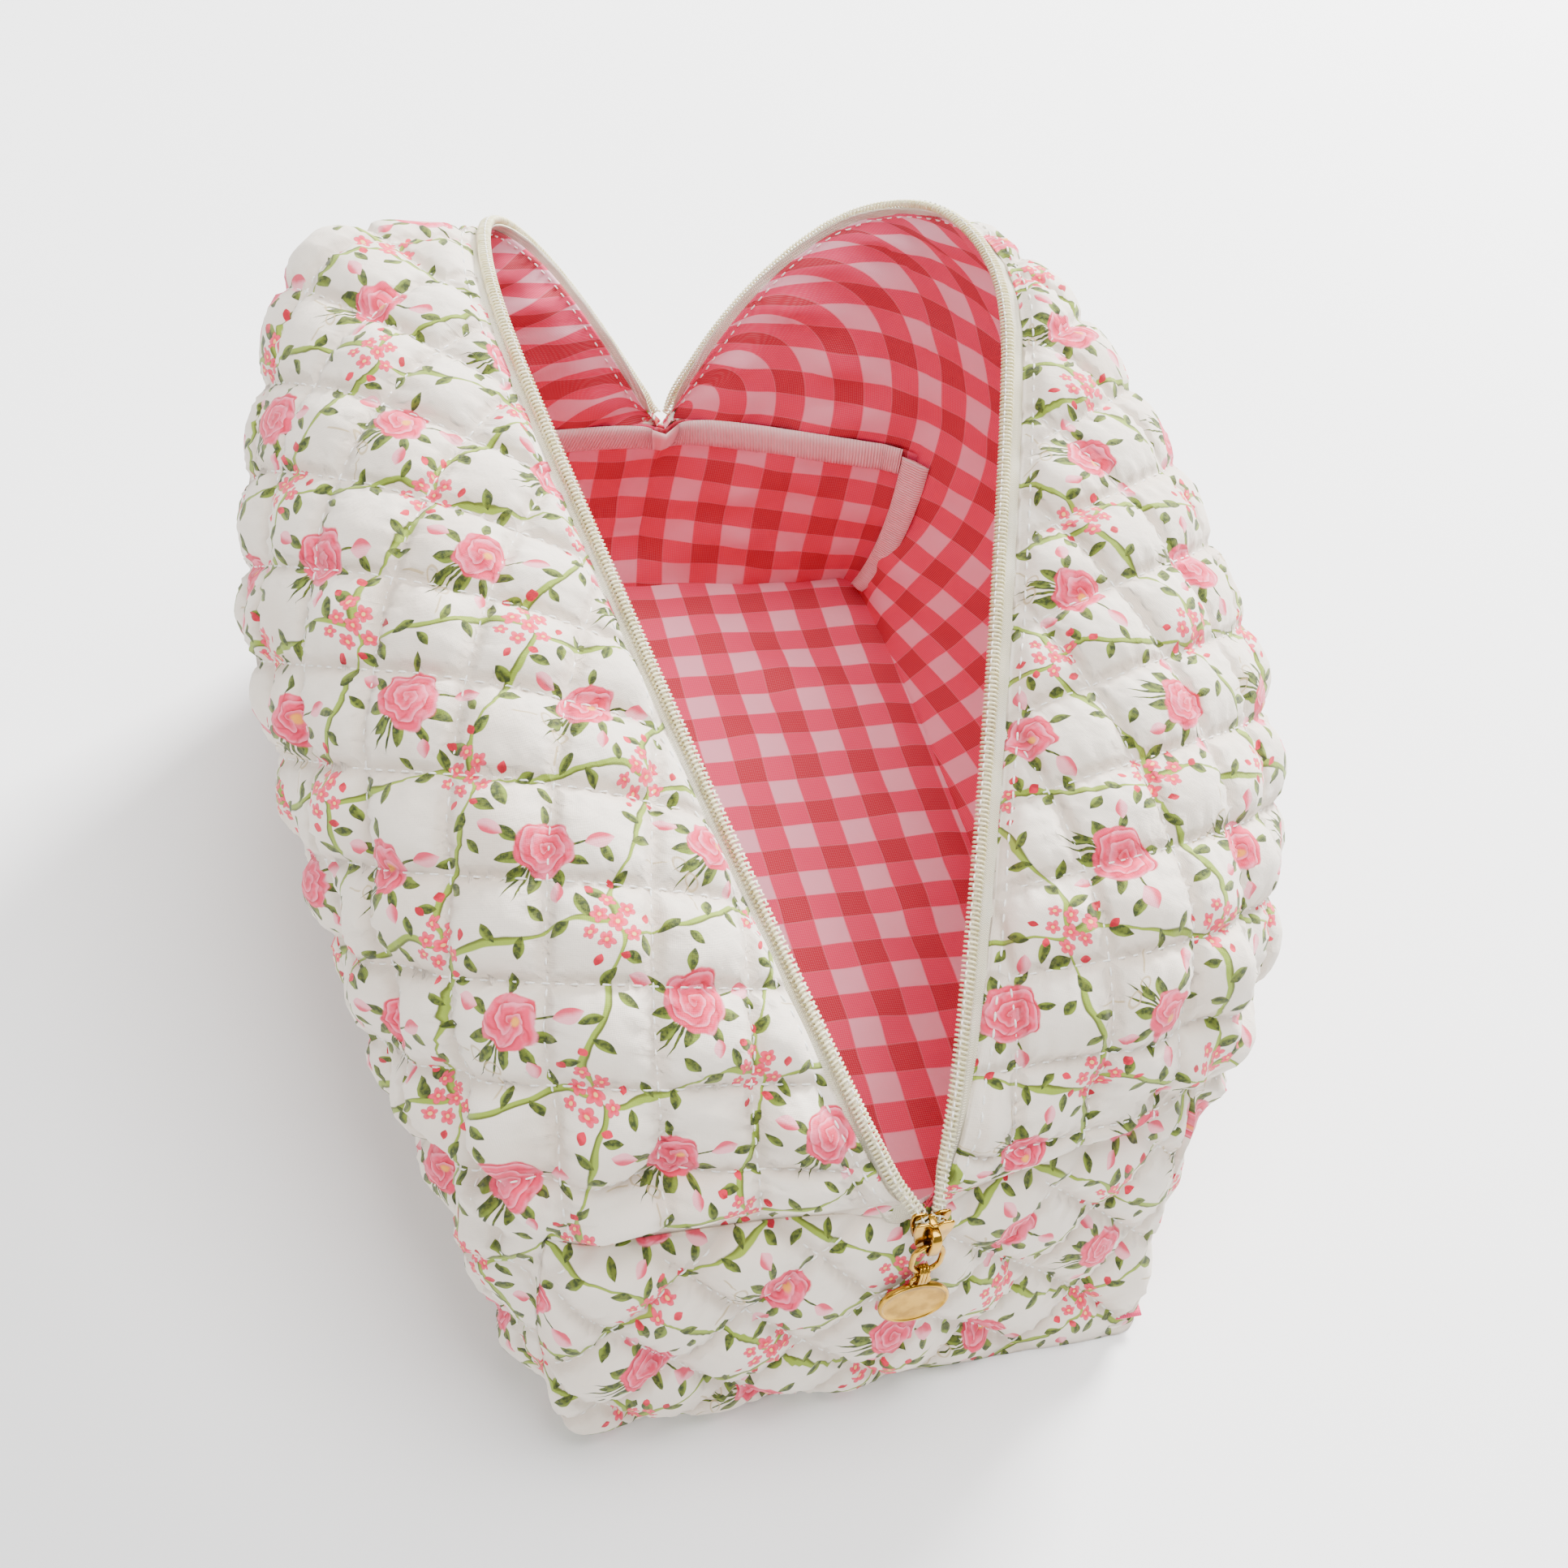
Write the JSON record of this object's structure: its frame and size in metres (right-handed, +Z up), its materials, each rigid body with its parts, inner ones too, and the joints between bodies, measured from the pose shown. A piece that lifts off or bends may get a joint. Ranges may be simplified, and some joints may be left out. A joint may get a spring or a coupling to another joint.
{
  "type": "makeup bag",
  "caption": "Soft quilted makeup bag with a flat oblong base, full rounded sides and a coil zip over the top, shown open, with a slider and a hanging oval pull.",
  "frame": {"origin": "middle of the flat base, on the face that the bag rests on", "axes": "+Z up; +Y from the end where the zip opens to the far end; +X to the right seen from the opening end"},
  "size_m": [0.2988, 0.3439, 0.1967],
  "materials": {
    "outer_cotton": "woven cotton, quilted, printed all over with small roses, vines and clusters",
    "wadding": "soft loose polyester wadding",
    "check_lining": "smooth woven cotton check, red, pink and white",
    "seam_tape": "ribbed folded seam tape",
    "zip_tape": "herringbone woven tape",
    "zip_coil": "slightly translucent nylon coil",
    "gold_metal": "polished gold plate",
    "satin_gold": "satin gold plate with a bright rim"
  },
  "bodies": {
    "root": {"base_outer": "outer_cotton", "base_wadding": "wadding", "base_lining": "check_lining", "near_end_outer": "outer_cotton", "near_end_wadding": "wadding", "near_end_lining": "check_lining", "far_end_outer": "outer_cotton", "far_end_wadding": "wadding", "far_end_lining": "check_lining", "left_wall_outer": "outer_cotton", "left_wall_wadding": "wadding", "left_wall_lining": "check_lining", "right_wall_outer": "outer_cotton", "right_wall_wadding": "wadding", "right_wall_lining": "check_lining", "left_shoulder": "outer_cotton", "left_shoulder_lining": "check_lining", "right_shoulder": "outer_cotton", "right_shoulder_lining": "check_lining", "near_end_binding": "seam_tape", "far_end_binding": "seam_tape", "near_left_binding": "seam_tape", "near_right_binding": "seam_tape", "far_left_binding": "seam_tape", "far_right_binding": "seam_tape"},
    "left_flap": {"left_flap_outer": "outer_cotton", "left_flap_wadding": "wadding", "left_flap_lining": "check_lining", "left_zip_tape": "zip_tape", "left_zip_coil": "zip_coil"},
    "right_flap": {"right_flap_outer": "outer_cotton", "right_flap_wadding": "wadding", "right_flap_lining": "check_lining", "right_zip_tape": "zip_tape", "right_zip_coil": "zip_coil"},
    "slider": {"slider_body": "gold_metal", "slider_bridge": "gold_metal"},
    "ring": {"pull_ring": "gold_metal"},
    "link": {"pull_link": "gold_metal"},
    "pendant": {"charm": "satin_gold"}
  },
  "joints": [
    {"name": "slider_travel", "type": "hinge", "parent": "root", "child": "slider", "pos_m": [0, 0, 0.089], "axis": [-1, 0, 0], "range_deg": [0, 180]},
    {"name": "left_flap_swing", "type": "hinge", "parent": "root", "child": "left_flap", "pos_m": [-0.087, 0, 0], "axis": [0, 1, 0], "range_deg": [0, 22.4], "deforming": ["left_shoulder", "left_shoulder_lining", "left_zip_tape", "left_zip_coil"]},
    {"name": "right_flap_swing", "type": "hinge", "parent": "root", "child": "right_flap", "pos_m": [0.093, 0, 0], "axis": [0, -1, 0], "range_deg": [0, 25.2], "deforming": ["right_shoulder", "right_shoulder_lining", "right_zip_tape", "right_zip_coil"]},
    {"name": "ring_swing", "type": "hinge", "parent": "slider", "child": "ring", "pos_m": [0, -0.1693, 0.0849], "axis": [-1, 0, 0], "range_deg": [0, 130]},
    {"name": "link_swing", "type": "hinge", "parent": "ring", "child": "link", "pos_m": [0, -0.17026, 0.07394], "axis": [-1, 0, 0], "range_deg": [0, 30]},
    {"name": "charm_swing", "type": "hinge", "parent": "link", "child": "pendant", "pos_m": [0, -0.17056, 0.07056], "axis": [-1, 0, 0], "range_deg": [0, 20]}
  ],
  "couplings": [
    {"joint": "left_flap_swing", "follows": "slider_travel", "ratio": 0.1244},
    {"joint": "right_flap_swing", "follows": "slider_travel", "ratio": 0.14}
  ]
}
